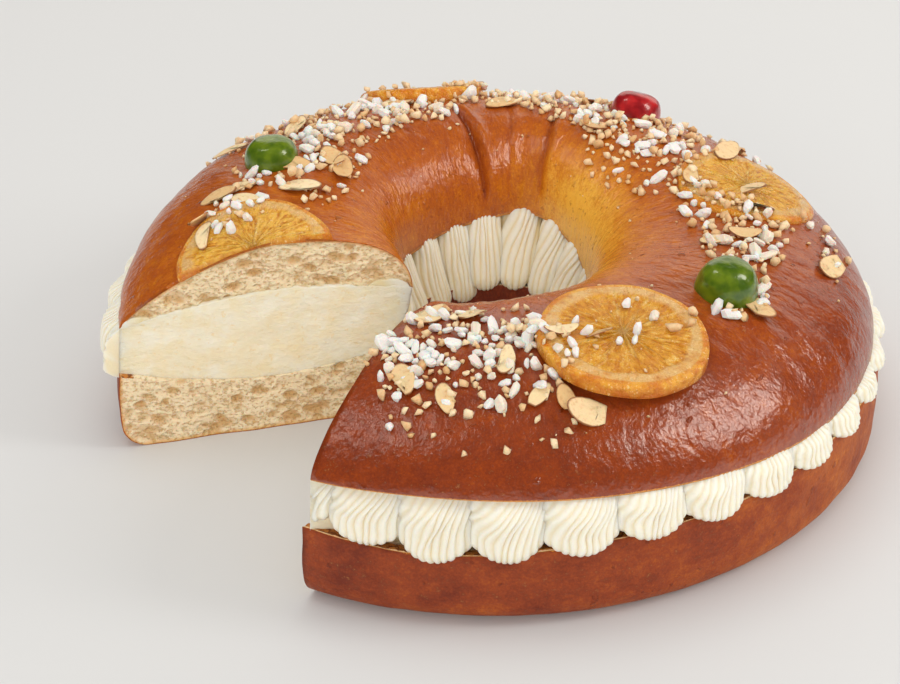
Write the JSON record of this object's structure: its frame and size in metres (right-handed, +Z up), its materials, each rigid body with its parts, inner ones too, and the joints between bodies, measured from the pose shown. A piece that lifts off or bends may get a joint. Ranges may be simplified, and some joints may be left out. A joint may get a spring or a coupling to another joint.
{
  "type": "filled sweet bread ring",
  "caption": "Ring of glazed sweet bread split level and filled with piped cream, dressed with candied orange and cherries, with one portion already cut out.",
  "frame": {"origin": "on the axis of the ring, on the surface that the ring stands on", "axes": "+Z up through the hole; the cut-out portion lies towards -X and -Y, and -Y is the side that faces the viewer"},
  "size_m": [0.2933, 0.2947, 0.0925],
  "materials": {
    "crust": "baked crust with an egg glaze",
    "cream": "whipped, satin",
    "candied_orange": "syrup gloss",
    "green_cherry": "syrup gloss",
    "red_cherry": "syrup gloss",
    "sugar_nibs": "crystalline, matt",
    "toasted_almond": "matt"
  },
  "bodies": {
    "root": {"bottom_bread": "crust", "cream": "cream", "top_bread": "crust", "orange_slice_front": "candied_orange", "orange_slice_right": "candied_orange", "orange_slice_back": "candied_orange", "orange_slice_left": "candied_orange", "green_cherry_left": "green_cherry", "green_cherry_right": "green_cherry", "red_cherry_back": "red_cherry"}
  },
  "joints": []
}
